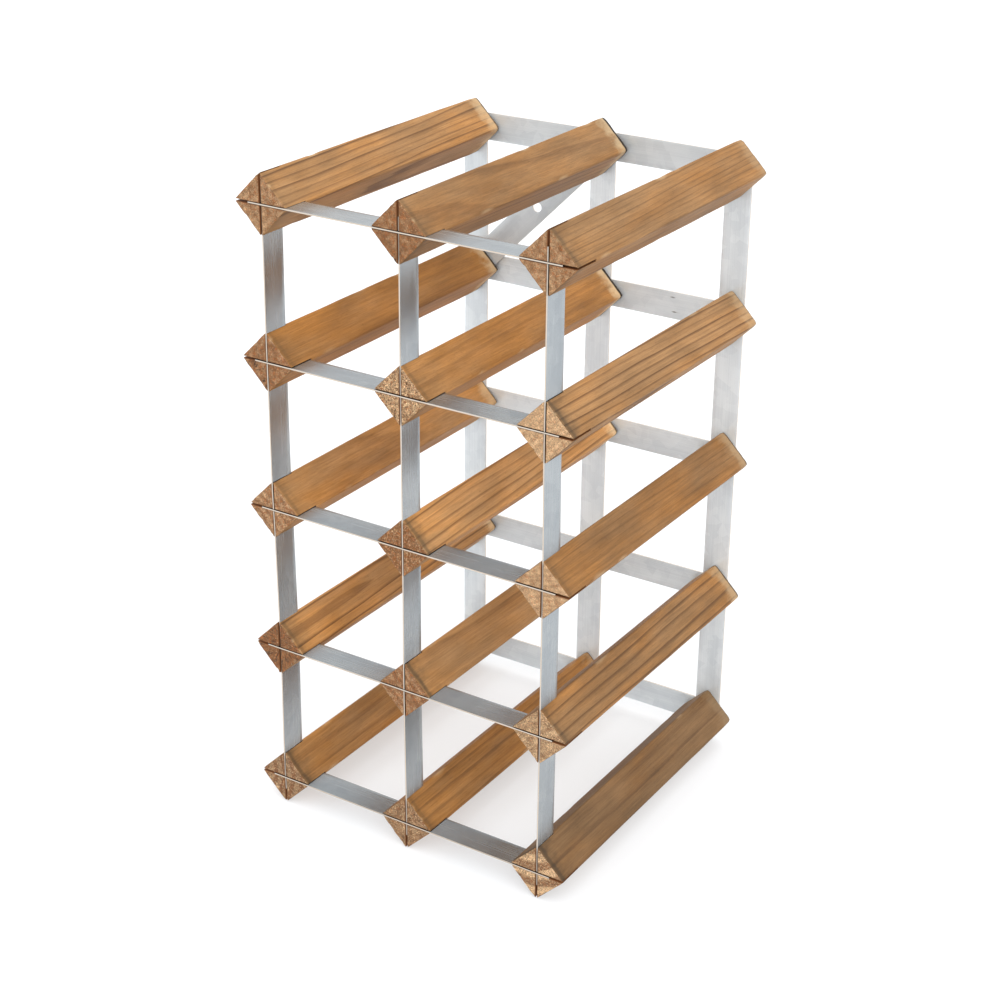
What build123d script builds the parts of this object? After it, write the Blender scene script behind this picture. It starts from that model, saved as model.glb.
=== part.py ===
from build123d import *
import os
from math import sqrt

# A wine rack: square pine battens set on the diamond and running front to back, held in a grid of
# galvanised steel strip. Eight bottles lie in the cells between the battens, and two more on top.
#
# Millimetres. +Z is up, +X is to the right and the front faces -Y. The origin is on the surface that
# the rack stands on, under the middle of its bounding box.

# ---- Driving dimensions ----
COLUMNS = ("left", "middle", "right")  # from -X to +X
ROWS = 5  # row 1 is the bottom row
PITCH = 96.0  # between the axes of neighbouring battens, across and up

BATTEN_SIDE = 27.0
BATTEN_EDGE_RADIUS = 1.2  # the eased long edges
BATTEN_LENGTH = 224.0
KERF_WIDTH = 1.6  # the two saw cuts across a batten's front end
KERF_DEPTH = 19.0

STRIP_WIDTH = 18.0
STRIP_THICKNESS = 1.0
STRIP_OVERHANG = 9.0  # how far a strip runs past the outermost batten axes
LAP_PLAY = 0.3  # how much wider each half-lap slot is than the strip in it

FIXING_HOLE_RADIUS = 3.3  # the hole in the brace for a wall screw

NAIL_LENGTH = 25.0  # under the head
NAIL_RADIUS = 1.0
NAIL_TIP_LENGTH = 3.0
NAIL_TIP_RADIUS = 0.15
NAIL_HEAD_RADIUS = 2.75
NAIL_HEAD_THICKNESS = 1.0
NAIL_HEAD_ROUNDING = 0.6
STRIP_NAIL_HOLE_RADIUS = 1.1
BATTEN_NAIL_HOLE_RADIUS = 1.05
BATTEN_NAIL_HOLE_DEPTH = 24.0

# ---- Sizes that follow from them ----
HALF_DIAGONAL = BATTEN_SIDE / sqrt(2) - BATTEN_EDGE_RADIUS * (sqrt(2) - 1)
RACK_DEPTH = BATTEN_LENGTH + 3 * STRIP_THICKNESS + NAIL_HEAD_THICKNESS
FRONT_Y = -RACK_DEPTH / 2  # the battens' sawn front ends
REAR_Y = FRONT_Y + BATTEN_LENGTH  # the battens' rear ends, which the rear strips lie against
GRID_WIDTH = PITCH * (len(COLUMNS) - 1)
GRID_HEIGHT = PITCH * (ROWS - 1)
CROSS_STRIP_LENGTH = GRID_WIDTH + 2 * STRIP_OVERHANG
UPRIGHT_LENGTH = GRID_HEIGHT + 2 * STRIP_OVERHANG
THROUGH = 4 * BATTEN_SIDE  # longer than any piece that a cut has to go right through
LAP_DEPTH = (STRIP_WIDTH + LAP_PLAY) / 2
LAP_SLOT = STRIP_THICKNESS + LAP_PLAY

# The brace joins these two battens, each given as (column, row).
BRACE_LOWER = ("left", ROWS - 1)
BRACE_UPPER = ("middle", ROWS)
BRACE_LENGTH = PITCH * sqrt(2) + 2 * STRIP_OVERHANG
BRACE_REACH = 22.5  # how far along a strip, from the batten's axis, the brace can lie under it


def axis_x(column):
    """X of the batten axes in a column."""
    return (COLUMNS.index(column) - (len(COLUMNS) - 1) / 2) * PITCH


def axis_z(row):
    """Height of the batten axes in a row."""
    return HALF_DIAGONAL + (row - 1) * PITCH


def braced(column, row):
    """Whether an end of the brace lies on this batten."""
    return (column, row) in (BRACE_LOWER, BRACE_UPPER)


def upright_level(column, row):
    """How many strip thicknesses a rear upright stands off the batten's end."""
    return 1 if braced(column, row) else 0


def cross_level(column, row):
    """How many strip thicknesses a rear cross strip stands off the batten's end."""
    return upright_level(column, row) + 1


def hole_along_y(x, z, radius):
    """A cutter for a round hole right through the rear strips."""
    return Pos(x, REAR_Y, z) * Rot(90, 0, 0) * Cylinder(radius, THROUGH)


def batten(column, row):
    """One batten, with a kerf along each diagonal of its front end and a nail hole in its rear end."""
    x, z = axis_x(column), axis_z(row)
    section = Plane((x, REAR_Y, z), (1, 0, 0), (0, -1, 0)) * Rot(0, 0, 45)
    section *= RectangleRounded(BATTEN_SIDE, BATTEN_SIDE, BATTEN_EDGE_RADIUS)
    body = extrude(section, BATTEN_LENGTH)
    kerf_end = Pos(x, FRONT_Y, z)
    body -= kerf_end * Box(KERF_WIDTH, 2 * KERF_DEPTH, THROUGH)
    body -= kerf_end * Box(THROUGH, 2 * KERF_DEPTH, KERF_WIDTH)
    nail_hole = Cylinder(BATTEN_NAIL_HOLE_RADIUS, 2 * BATTEN_NAIL_HOLE_DEPTH)
    return body - Pos(x, REAR_Y, z) * Rot(90, 0, 0) * nail_hole


def front_cross_strip(row):
    """An edge-on strip along a row, slotted from its rear edge where the uprights pass."""
    strip = Pos(0, FRONT_Y + STRIP_WIDTH / 2, axis_z(row))
    strip *= Box(CROSS_STRIP_LENGTH, STRIP_WIDTH, STRIP_THICKNESS)
    for column in COLUMNS:
        rear_edge = Pos(axis_x(column), FRONT_Y + STRIP_WIDTH, axis_z(row))
        strip -= rear_edge * Box(LAP_SLOT, 2 * LAP_DEPTH, LAP_SLOT)
    return strip


def front_upright(column):
    """An edge-on strip up a column, slotted from its front edge where the cross strips pass."""
    strip = Pos(axis_x(column), FRONT_Y + STRIP_WIDTH / 2, axis_z(1) + GRID_HEIGHT / 2)
    strip *= Box(STRIP_THICKNESS, STRIP_WIDTH, UPRIGHT_LENGTH)
    for row in range(1, ROWS + 1):
        front_edge = Pos(axis_x(column), FRONT_Y, axis_z(row))
        strip -= front_edge * Box(LAP_SLOT, 2 * LAP_DEPTH, LAP_SLOT)
    return strip


def rear_strip(stations):
    """A flat strip along X whose distance from the batten ends follows its stations.

    Each station is (place along the strip, strip thicknesses off the batten ends). Between two
    stations the strip runs straight. Its middle plane is Z = 0.
    """
    near_side = [(s, REAR_Y + level * STRIP_THICKNESS) for s, level in stations]
    far_side = [(s, y + STRIP_THICKNESS) for s, y in reversed(near_side)]
    outline = make_face(Polyline(*near_side, *far_side, close=True))
    return extrude(outline, STRIP_WIDTH / 2, both=True)


def stations_over(places, levels, braced_side):
    """Stations of a strip that lies level on each batten end and slopes between them.

    places are the batten axes along the strip and levels the strip's level on each of them.
    braced_side is 1 where the brace runs on under the strip beyond its batten, towards +, and -1
    where it runs towards -.
    """
    stations = [(places[0] - STRIP_OVERHANG, levels[0])]
    base = min(levels)
    for place, level in zip(places, levels):
        if level > base:
            before = BRACE_REACH if braced_side < 0 else HALF_DIAGONAL
            after = BRACE_REACH if braced_side > 0 else HALF_DIAGONAL
        else:
            before = after = HALF_DIAGONAL
        stations.append((place - before, level))
        stations.append((place + after, level))
    first, last = places[0] - STRIP_OVERHANG, places[-1] + STRIP_OVERHANG
    stations.append((last, levels[-1]))
    return [s for s in stations if first <= s[0] <= last]


def rear_cross_strip(row):
    """A flat strip along a row, behind the rear uprights, nailed at each crossing."""
    places = [axis_x(column) for column in COLUMNS]
    levels = [cross_level(column, row) for column in COLUMNS]
    braced_side = 1 if row == BRACE_LOWER[1] else -1
    strip = Pos(0, 0, axis_z(row)) * rear_strip(stations_over(places, levels, braced_side))
    for x in places:
        strip -= hole_along_y(x, axis_z(row), STRIP_NAIL_HOLE_RADIUS)
    return strip


def rear_upright(column):
    """A flat strip up a column, against the batten ends, nailed at each crossing."""
    places = [axis_z(row) for row in range(1, ROWS + 1)]
    levels = [upright_level(column, row) for row in range(1, ROWS + 1)]
    braced_side = 1 if column == BRACE_LOWER[0] else -1
    strip = rear_strip(stations_over(places, levels, braced_side))
    strip = Pos(axis_x(column), 0, 0) * Rot(0, -90, 0) * strip
    for z in places:
        strip -= hole_along_y(axis_x(column), z, STRIP_NAIL_HOLE_RADIUS)
    return strip


def diagonal_brace():
    """A flat strip at 45 degrees, on the batten ends and under the uprights, with a wall screw hole."""
    ends = [(axis_x(column), axis_z(row)) for column, row in (BRACE_LOWER, BRACE_UPPER)]
    middle_x = (ends[0][0] + ends[1][0]) / 2
    middle_z = (ends[0][1] + ends[1][1]) / 2
    strip = Box(BRACE_LENGTH, STRIP_THICKNESS, STRIP_WIDTH)
    strip = Pos(middle_x, REAR_Y + STRIP_THICKNESS / 2, middle_z) * Rot(0, -45, 0) * strip
    for x, z in ends:
        strip -= hole_along_y(x, z, STRIP_NAIL_HOLE_RADIUS)
    return strip - hole_along_y(middle_x, middle_z, FIXING_HOLE_RADIUS)


def nail(column, row):
    """One nail, its head against the back of the cross strip and its point in the batten."""
    shank_length = NAIL_LENGTH - NAIL_TIP_LENGTH
    top = Align.MAX
    bottom = Align.MIN
    head = Cylinder(NAIL_HEAD_RADIUS, NAIL_HEAD_THICKNESS, align=(Align.CENTER, Align.CENTER, bottom))
    head = fillet(head.edges().sort_by(Axis.Z)[-1], NAIL_HEAD_ROUNDING)
    shank = Cylinder(NAIL_RADIUS, shank_length, align=(Align.CENTER, Align.CENTER, top))
    tip = Cone(NAIL_TIP_RADIUS, NAIL_RADIUS, NAIL_TIP_LENGTH, align=(Align.CENTER, Align.CENTER, top))
    whole = head + shank + Pos(0, 0, -shank_length) * tip
    seat_y = REAR_Y + (cross_level(column, row) + 1) * STRIP_THICKNESS
    return Pos(axis_x(column), seat_y, axis_z(row)) * Rot(-90, 0, 0) * whole


def save(shape, node):
    """Write one node's file."""
    export_step(shape, f"parts/{node}.step")


os.makedirs("parts", exist_ok=True)

for row in range(1, ROWS + 1):
    for column in COLUMNS:
        save(batten(column, row), f"batten_row{row}_{column}")
    save(front_cross_strip(row), f"front_cross_strip_row{row}")
    save(rear_cross_strip(row), f"rear_cross_strip_row{row}")

for column in COLUMNS:
    save(front_upright(column), f"front_upright_{column}")
    save(rear_upright(column), f"rear_upright_{column}")

save(diagonal_brace(), "diagonal_brace")

nails = [nail(column, row) for row in range(1, ROWS + 1) for column in COLUMNS]
save(Compound(nails), "rear_nails")
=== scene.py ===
import math
from collections import namedtuple

import bmesh
import bpy
import numpy as np
from mathutils import Matrix, Vector


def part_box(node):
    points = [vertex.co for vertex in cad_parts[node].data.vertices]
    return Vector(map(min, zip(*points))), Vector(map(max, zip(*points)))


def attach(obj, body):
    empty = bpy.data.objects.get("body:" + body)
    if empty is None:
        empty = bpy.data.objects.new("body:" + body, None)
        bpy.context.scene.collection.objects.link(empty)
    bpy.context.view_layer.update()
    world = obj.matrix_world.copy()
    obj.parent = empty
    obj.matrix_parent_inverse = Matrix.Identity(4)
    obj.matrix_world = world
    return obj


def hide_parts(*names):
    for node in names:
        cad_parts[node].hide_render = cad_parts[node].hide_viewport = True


# A wine rack: square battens of stained pine, set on the diamond, in a grid of galvanised strip.
# The frame is in metres. Shapes are worked out in millimetres and scaled by MM when a mesh is made.

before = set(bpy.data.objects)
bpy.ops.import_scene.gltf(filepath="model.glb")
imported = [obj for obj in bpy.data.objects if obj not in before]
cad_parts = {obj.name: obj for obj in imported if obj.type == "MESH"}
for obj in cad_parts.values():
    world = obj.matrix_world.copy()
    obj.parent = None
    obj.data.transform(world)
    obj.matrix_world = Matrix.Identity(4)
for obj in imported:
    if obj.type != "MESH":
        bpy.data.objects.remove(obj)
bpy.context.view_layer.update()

MM = 0.001
BODY = "root"
COLUMNS = ("left", "middle", "right")  # from -X to +X
ROWS = (1, 2, 3, 4, 5)  # from the bottom up

# ---- Sizes that the CAD model shares, in millimetres ----
BATTEN_SIDE = 27.0
BATTEN_EDGE_RADIUS = 1.2
KERF_WIDTH = 1.6
KERF_DEPTH = 19.0
STRIP_WIDTH = 18.0
STRIP_THICKNESS = 1.0
LAP_SLOT = 1.3  # width of the slots where the front strips cross
LAP_DEPTH = 9.15
STRIP_NAIL_HOLE_RADIUS = 1.1
BATTEN_NAIL_HOLE_RADIUS = 1.05
BATTEN_NAIL_HOLE_DEPTH = 24.0
FIXING_HOLE_RADIUS = 3.3
BRACE_REACH = 22.5  # how far from a batten's axis a strip stays raised over the brace
BRACE_LOWER = ("left", 4)
BRACE_UPPER = ("middle", 5)


def box_mm(node):
    """A CAD node's lowest and highest corner, in millimetres."""
    low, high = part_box(node)
    return np.array(low) / MM, np.array(high) / MM


def batten_node(row, column):
    """The name of a batten's CAD node."""
    return f"batten_row{row}_{column}"


BATTEN_LOW, BATTEN_HIGH = box_mm(batten_node(1, "left"))
BATTEN_LENGTH = BATTEN_HIGH[1] - BATTEN_LOW[1]
HALF_DIAGONAL = (BATTEN_HIGH[0] - BATTEN_LOW[0]) / 2
FRONT_Y, REAR_Y = BATTEN_LOW[1], BATTEN_HIGH[1]


def axis_x(column):
    """X of a column's batten axes."""
    low, high = box_mm(batten_node(1, column))
    return (low[0] + high[0]) / 2


def axis_z(row):
    """Height of a row's batten axes."""
    low, high = box_mm(batten_node(row, "left"))
    return (low[2] + high[2]) / 2


AXIS_X = {column: axis_x(column) for column in COLUMNS}
AXIS_Z = {row: axis_z(row) for row in ROWS}
COLUMN_PLACES = list(AXIS_X.values())
ROW_PLACES = list(AXIS_Z.values())
COLUMN_PITCH = (AXIS_X["right"] - AXIS_X["left"]) / (len(COLUMNS) - 1)
ROW_PITCH = AXIS_Z[2] - AXIS_Z[1]
STRIP_OVERHANG = AXIS_X["left"] - box_mm("front_cross_strip_row1")[0][0]
TOUCH = 1e-3  # a point this near a surface, in millimetres, counts as on it

# ---- How each front strip lies in its kerfs ----
# A strip is thinner than its kerf, and lies against one side of it or the other.
# The numbers are millimetres off the kerf's middle or behind its mouth.
UPRIGHT_LEAN = {  # towards +X, as (row, millimetres)
    "left": (
        (5.2, 0.27), (4.8, 0.27), (4, 0.06), (3.15, -0.24),
        (2.85, 0.24), (2, 0.2), (1.1, -0.15), (0.9, 0.1),
    ),
    "middle": ((5, 0.27), (4, 0.05), (3, 0.16), (2, -0.25), (1, 0.18)),
    "right": ((5, -0.26), (4, -0.27), (3, 0.2), (2, 0.27), (1.1, -0.05), (0.9, 0.2)),
}
CROSS_RISE = {  # towards +Z, one for each column
    5: (0.02, 0.05, 0.1),
    4: (-0.27, -0.27, -0.1),
    3: (-0.22, -0.27, -0.27),
    2: (-0.1, -0.05, -0.22),
    1: (-0.22, -0.27, -0.26),
}
UPRIGHT_RECESS = {  # towards +Y, one for each row from the bottom up
    "left": (0.3, 0.9, 0.1, 0.1, 0.9),
    "middle": (0.35, 0.1, 0.15, 0.45, 0.6),
    "right": (0.45, 0.4, 0.5, 0.15, 0.2),
}

# ---- How each batten was cut from its log, and how it took the stain ----
Timber = namedtuple(
    "Timber",
    "pith_angle pith_distance ring_pitch contrast warmth tone "
    "end_light end_rings end_rough end_orange rear_wear front_dirt",
)
# pith_angle is the direction from the batten's axis to the heart of the log: 0 is +X, 90 is up.
# tone scales the brightness of a batten's sides: its own stain, and partly painted light, most of all on the
# middle batten of row 3, which the rack around it shades.
TIMBER = {
    (5, "left"): (-48, 62, 4.6, 0.85, 0.35, 1.05, 0.35, 0.2, 0.8, 0.8, 0.6, 0.15),
    (5, "middle"): (-112, 34, 6.0, 0.45, 0.35, 0.82, 0.15, 0.2, 0.5, 0.9, 1.0, 0.4),
    (5, "right"): (-20, 55, 3.0, 0.5, 0.4, 0.85, 0.35, 0.15, 0.5, 0.8, 0.2, 0.5),
    (4, "left"): (-140, 26, 6.5, 0.45, 0.8, 0.95, 0.2, 0.25, 0.6, 1.0, 0.9, 0.3),
    (4, "middle"): (-100, 40, 5.0, 0.35, 0.65, 1.12, 0.55, 0.25, 1.9, 0.9, 1.0, 0.4),
    (4, "right"): (-44, 75, 4.6, 0.9, 0.25, 1.03, 0.9, 0.3, 0.8, 0.5, 0.3, 0.8),
    (3, "left"): (-135, 40, 5.2, 0.4, 0.5, 1.27, 0.38, 0.65, 1.1, 1.0, 0.4, 0.4),
    (3, "middle"): (-60, 48, 4.4, 0.85, 0.45, 1.55, 0.05, 0.45, 1.2, 1.0, 0.7, 0.8),
    (3, "right"): (-70, 70, 3.2, 0.4, 0.5, 0.75, 0.7, 0.3, 0.5, 0.6, 0.5, 0.25),
    (2, "left"): (60, 6, 4.0, 0.9, 0.4, 1.3, -0.1, 0.35, 0.8, 1.0, 0.6, 0.5),
    (2, "middle"): (-130, 45, 5.5, 0.4, 0.3, 1.16, 0.25, 0.75, 0.8, 0.9, 0.6, 0.9),
    (2, "right"): (-52, 58, 6.2, 0.9, 0.45, 0.82, 0.55, 0.4, 1.3, 0.3, 0.6, 0.5),
    (1, "left"): (175, 44, 6.4, 0.4, 0.5, 1.02, 0.28, 1.1, 1.3, 0.35, 0.4, 0.8),
    (1, "middle"): (-78, 60, 5.0, 0.6, 0.7, 0.93, 0.22, 0.4, 1.4, 0.45, 0.4, 0.4),
    (1, "right"): (106, 34, 11.0, 0.45, 0.2, 0.56, 1.4, 1.05, 1.5, 0.35, 0.2, 0.8),
}


# ---- Numbers ----
def smooth(value, low, high):
    """0 at low, 1 at high, and an even ease between them."""
    share = np.clip((value - low) / (high - low), 0, 1)
    return share * share * (3 - 2 * share)


def eased(pairs, place):
    """The value at a place, eased between (place, value) pairs."""
    pairs = sorted(pairs)
    places = [p for p, _ in pairs]
    values = [v for _, v in pairs]
    result = np.full(np.shape(place), float(values[0]))
    for a, b, before, after in zip(places, places[1:], values, values[1:]):
        result += (after - before) * smooth(place, a, b)
    return result


def stations(fixed, step):
    """Places from the first fixed one to the last, at most a step apart, with the fixed ones kept."""
    fixed = sorted(fixed)
    runs = []
    for a, b in zip(fixed, fixed[1:]):
        if b - a > 1e-6:
            runs.append(np.linspace(a, b, math.ceil((b - a) / step) + 1)[:-1])
    return np.concatenate(runs + [np.array([fixed[-1]])])


def scatter(cells, seed):
    """A repeatable number from 0 to 1 for each cell of a lattice."""
    x, y, z = (cells[..., i].astype(np.int64) for i in range(3))
    mixed = (x * 73856093) ^ (y * 19349663) ^ (z * 83492791) ^ (seed * 40503 + 977)
    mixed &= 0xFFFFFFFF
    mixed ^= mixed >> 13
    mixed = (mixed * 1274126177) & 0xFFFFFFFF
    mixed ^= mixed >> 16
    return (mixed & 0xFFFF) / 0xFFFF


def soft_noise(points, size, seed):
    """Smooth noise from 0 to 1 with features about as large as size, one number or one for each axis."""
    scaled = points / np.array(size, float)
    cell = np.floor(scaled)
    share = scaled - cell
    share = share * share * (3 - 2 * share)
    total = np.zeros(len(points))
    for corner in np.ndindex(2, 2, 2):
        weight = np.prod(np.where(np.array(corner) == 1, share, 1 - share), axis=-1)
        total += weight * scatter(cell + np.array(corner), seed)
    return total


# ---- Meshes ----
def new_object(name, data):
    """Put an object in the scene."""
    made = bpy.data.objects.new(name, data)
    bpy.context.scene.collection.objects.link(made)
    return made


def points_at(x, y, z):
    """Points from their coordinates, each an array or one number."""
    return np.stack(np.broadcast_arrays(x, y, z), axis=-1)


class Surface:
    """Patches of faces that are welded into one closed mesh."""

    def __init__(self):
        self.points = []
        self.faces = []
        self.count = 0

    def patch(self, points, faces):
        points = np.asarray(points, float).reshape(-1, 3)
        self.faces += [[self.count + i for i in face] for face in faces]
        self.points.append(points)
        self.count += len(points)

    def grid(self, points, closed=False):
        """Quads over a rows x columns array of points. A closed grid joins its last row to its first."""
        if closed:
            points = np.concatenate([points, points[:1]])
        rows, columns = points.shape[:2]
        index = np.arange(rows * columns).reshape(rows, columns)
        quads = np.stack([index[:-1, :-1], index[1:, :-1], index[1:, 1:], index[:-1, 1:]], axis=-1)
        self.patch(points, quads.reshape(-1, 4).tolist())

    def mesh(self, name):
        """The welded mesh, with its faces turned outwards."""
        points = np.concatenate(self.points)
        keys = np.round(points * 2e3).astype(np.int64)
        _, first, place = np.unique(keys, axis=0, return_index=True, return_inverse=True)
        place = place.ravel().tolist()
        faces = [list(dict.fromkeys(place[i] for i in face)) for face in self.faces]
        faces = [face for face in faces if len(face) > 2]
        mesh = bpy.data.meshes.new(name)
        mesh.from_pydata(points[first].tolist(), [], faces)
        bm = bmesh.new()
        bm.from_mesh(mesh)
        bmesh.ops.recalc_face_normals(bm, faces=bm.faces)
        bm.to_mesh(mesh)
        bm.free()
        return mesh


def mesh_points(mesh):
    """A mesh's points as an array."""
    points = np.zeros(len(mesh.vertices) * 3)
    mesh.vertices.foreach_get("co", points)
    return points.reshape(-1, 3)


def set_points(mesh, points):
    """Give a mesh its points, from millimetres."""
    mesh.vertices.foreach_set("co", (points * MM).ravel())
    mesh.update()


def set_values(mesh, name, values):
    """Give each point of a mesh a number or a vector, for its material."""
    kind, key = ("FLOAT_VECTOR", "vector") if values.ndim > 1 else ("FLOAT", "value")
    layer = mesh.attributes.new(name, kind, "POINT")
    layer.data.foreach_set(key, values.astype(np.float32).ravel())


def bevel(mesh, width):
    """Ease every edge of a mesh that turns by more than 50 degrees."""
    bm = bmesh.new()
    bm.from_mesh(mesh)
    sharp = [e for e in bm.edges if e.is_manifold and e.calc_face_angle() > math.radians(50)]
    bmesh.ops.bevel(bm, geom=sharp, offset=width, segments=2, profile=0.6, affect="EDGES")
    bm.to_mesh(mesh)
    bm.free()


def show(name, mesh, material, nodes, smooth_angle=40):
    """Put a finished mesh in the scene as a piece that stands for CAD nodes."""
    mesh.materials.clear()
    mesh.materials.append(material)
    mesh.set_sharp_from_angle(angle=math.radians(smooth_angle))
    piece = new_object(name, mesh)
    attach(piece, BODY)
    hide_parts(*nodes)
    return piece


# ---- Material nodes ----
def tint(red, green, blue):
    """A colour given as it looks on screen, 0 to 255, as the shader needs it."""
    shares = [c / 255 for c in (red, green, blue)]
    return tuple(s / 12.92 if s <= 0.04045 else ((s + 0.055) / 1.055) ** 2.4 for s in shares) + (1.0,)


class Nodes:
    """Short calls that build one material. An argument is a socket or a plain value."""

    def __init__(self, name):
        self.material = bpy.data.materials.new(name)
        self.material.use_nodes = True
        self.tree = self.material.node_tree
        self.tree.nodes.clear()

    def add(self, kind, **settings):
        node = self.tree.nodes.new(kind)
        for name, value in settings.items():
            setattr(node, name, value)
        return node

    def feed(self, socket, value):
        if isinstance(value, bpy.types.NodeSocket):
            self.tree.links.new(value, socket)
        else:
            socket.default_value = value

    def math(self, operation, *values):
        node = self.add("ShaderNodeMath", operation=operation)
        for socket, value in zip(node.inputs, values):
            self.feed(socket, value)
        return node.outputs[0]

    def plus(self, a, b):
        return self.math("ADD", a, b)

    def linear(self, value, slope, start):
        return self.math("MULTIPLY_ADD", value, slope, start)

    def times(self, *values):
        result = values[0]
        for value in values[1:]:
            result = self.math("MULTIPLY", result, value)
        return result

    def scaled(self, vector, *scale):
        node = self.add("ShaderNodeVectorMath", operation="MULTIPLY")
        self.feed(node.inputs[0], vector)
        node.inputs[1].default_value = scale
        return node.outputs[0]

    def split(self, vector):
        node = self.add("ShaderNodeSeparateXYZ")
        self.feed(node.inputs[0], vector)
        return node.outputs

    def join(self, *values):
        node = self.add("ShaderNodeCombineXYZ")
        for socket, value in zip(node.inputs, values):
            self.feed(socket, value)
        return node.outputs[0]

    def vector(self, name):
        return self.add("ShaderNodeAttribute", attribute_name=name).outputs["Vector"]

    def value(self, name):
        return self.add("ShaderNodeAttribute", attribute_name=name).outputs["Fac"]

    def own(self, name):
        """A number that each piece carries."""
        node = self.add("ShaderNodeAttribute", attribute_name=name, attribute_type="OBJECT")
        return node.outputs["Fac"]

    def noise(self, place, scale=1.0, detail=2.0, roughness=0.5):
        node = self.add("ShaderNodeTexNoise")
        self.feed(node.inputs["Vector"], place)
        self.feed(node.inputs["Scale"], scale)
        self.feed(node.inputs["Detail"], detail)
        self.feed(node.inputs["Roughness"], roughness)
        return node.outputs["Fac"]

    def streaked(self, place, across, along, detail=2.0, roughness=0.5):
        """Noise with one scale along Y and another across it."""
        return self.noise(self.scaled(place, across, along, across), detail=detail, roughness=roughness)

    def cells(self, place, scale):
        node = self.add("ShaderNodeTexVoronoi", feature="F1")
        self.feed(node.inputs["Vector"], place)
        self.feed(node.inputs["Scale"], scale)
        return node.outputs["Color"]

    def span(self, value, low, high, out_low=0.0, out_high=1.0):
        """out_low up to low, out_high from high on, and an even ease between them."""
        node = self.add("ShaderNodeMapRange", interpolation_type="SMOOTHSTEP")
        for socket, number in zip(node.inputs, (value, low, high, out_low, out_high)):
            self.feed(socket, number)
        return node.outputs[0]

    def hump(self, value, rise, fall):
        """1 between rise and fall, each (start, end), and 0 outside them."""
        return self.times(self.span(value, *rise), self.span(value, *fall, 1.0, 0.0))

    def blend(self, share, a, b, mode="MIX"):
        node = self.add("ShaderNodeMix", data_type="RGBA", blend_type=mode)
        colours = [s for s in node.inputs if s.type == "RGBA"]
        self.feed(node.inputs[0], share)
        self.feed(colours[0], a)
        self.feed(colours[1], b)
        return next(s for s in node.outputs if s.type == "RGBA")

    def brighter(self, colour, gain):
        grey = self.join(gain, gain, gain)
        return self.blend(1.0, colour, grey, "MULTIPLY")

    def finish(self, colour, roughness, height, depth, **settings):
        """Close the material with a shader. height is bump from 0 to 1, depth its size in millimetres."""
        shader = self.add("ShaderNodeBsdfPrincipled")
        self.feed(shader.inputs["Base Color"], colour)
        self.feed(shader.inputs["Roughness"], roughness)
        for name, value in settings.items():
            shader.inputs[name.replace("_", " ")].default_value = value
        bump = self.add("ShaderNodeBump")
        bump.inputs["Strength"].default_value = 1.0
        bump.inputs["Distance"].default_value = depth * MM
        self.feed(bump.inputs["Height"], height)
        self.feed(shader.inputs["Normal"], bump.outputs[0])
        output = self.add("ShaderNodeOutputMaterial")
        self.feed(output.inputs["Surface"], shader.outputs[0])
        return self.material


# ---- Stained pine ----
STAIN_PALE = tint(152, 115, 75)
STAIN_WARM = tint(160, 108, 50)
STAIN_DARK = tint(88, 56, 30)
FRONT_END_DARK = tint(62, 52, 38)
RIM_DARK = tint(46, 34, 25)
# painted shade for the inside of the kerfs
KERF_SHADE_COLOUR = tint(128, 82, 48)
PALE_PINE = tint(208, 184, 146)
END_PALE = tint(214, 176, 134)
END_BROWN = tint(130, 84, 44)
END_GREY = tint(126, 100, 72)
END_ORANGE = tint(168, 96, 44)
END_LATE = tint(118, 70, 34)
END_PIT = tint(66, 40, 22)
END_CHIP = tint(236, 204, 158)

LATE_LINE = ((0.6, 0.92), (0.93, 1.0))  # where in a ring, from 0 to 1, its late wood starts and ends
LATE_BAND = ((0.34, 0.58), (0.86, 1.0))


def heart_distance(n, grain):
    """How far a place in the wood is from the heart of the log."""
    x, _, z = n.split(grain)
    return n.math("SQRT", n.plus(n.times(x, x), n.times(z, z)))


def growth_rings(n, grain):
    """The dark late wood of each ring, as a thin line for the sides and a broad band for the ends."""
    slow = n.streaked(grain, 0.045, 0.005)
    quick = n.streaked(grain, 0.3, 0.008)
    wander = n.plus(n.linear(slow, 7.0, -3.5), n.linear(quick, 0.8, -0.4))
    rings = n.math("DIVIDE", n.plus(heart_distance(n, grain), wander), n.own("ring_pitch"))
    share = n.math("FRACT", rings)
    pick = n.add("ShaderNodeTexWhiteNoise", noise_dimensions="1D")
    n.feed(pick.inputs["W"], n.math("FLOOR", rings))
    strength = n.linear(pick.outputs["Value"], 0.6, 0.4)
    return n.times(n.hump(share, *LATE_LINE), strength), n.hump(share, *LATE_BAND)


def heart_rays(n, grain):
    """Dark rays that fan out from the heart, strong near it and faint further out."""
    x, _, z = n.split(grain)
    distance = heart_distance(n, grain)
    around = n.times(n.math("ARCTAN2", x, z), 9.0)
    fan = n.noise(n.join(around, 0.0, n.times(distance, 0.2)))
    return n.times(n.span(fan, 0.5, 0.66), n.span(distance, 16.0, 32.0, 1.0, 0.12))


# Light and dark along the grain: scale across and along it, detail, roughness, swing, least brightness.
SIDE_LAYERS = (
    (0.06, 0.022, 2.0, 0.5, 0.9, 0.55),  # patches
    (0.6, 0.008, 3.0, 0.6, 0.7, 0.65),  # streaks
    (1.8, 0.05, 3.0, 0.65, 0.8, 0.6),  # fibres
)
# Zones at a batten's ends: how ragged each is, and where it starts and stops fading. All in millimetres.
SMUDGED_ZONE = (26.0, -14.0, 2.0)
PALE_REAR_ZONE = (22.0, -9.0, 3.0)
STRIPE_RAGGED = 3.0
STRIPE = ((-0.8, 0.2), (1.4, 3.4))  # where the dark stripe behind the front end starts and ends
RIM_WIDTH = 2.4  # the dark rim at the rear end, on the batten with the strongest rear_wear


def end_zone(n, distance, cloud, zone):
    """1 near a batten's end and 0 further off, with a ragged edge."""
    ragged, near, far = zone
    return n.span(n.plus(distance, n.times(cloud, -ragged)), near, far, 1.0, 0.0)


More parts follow.
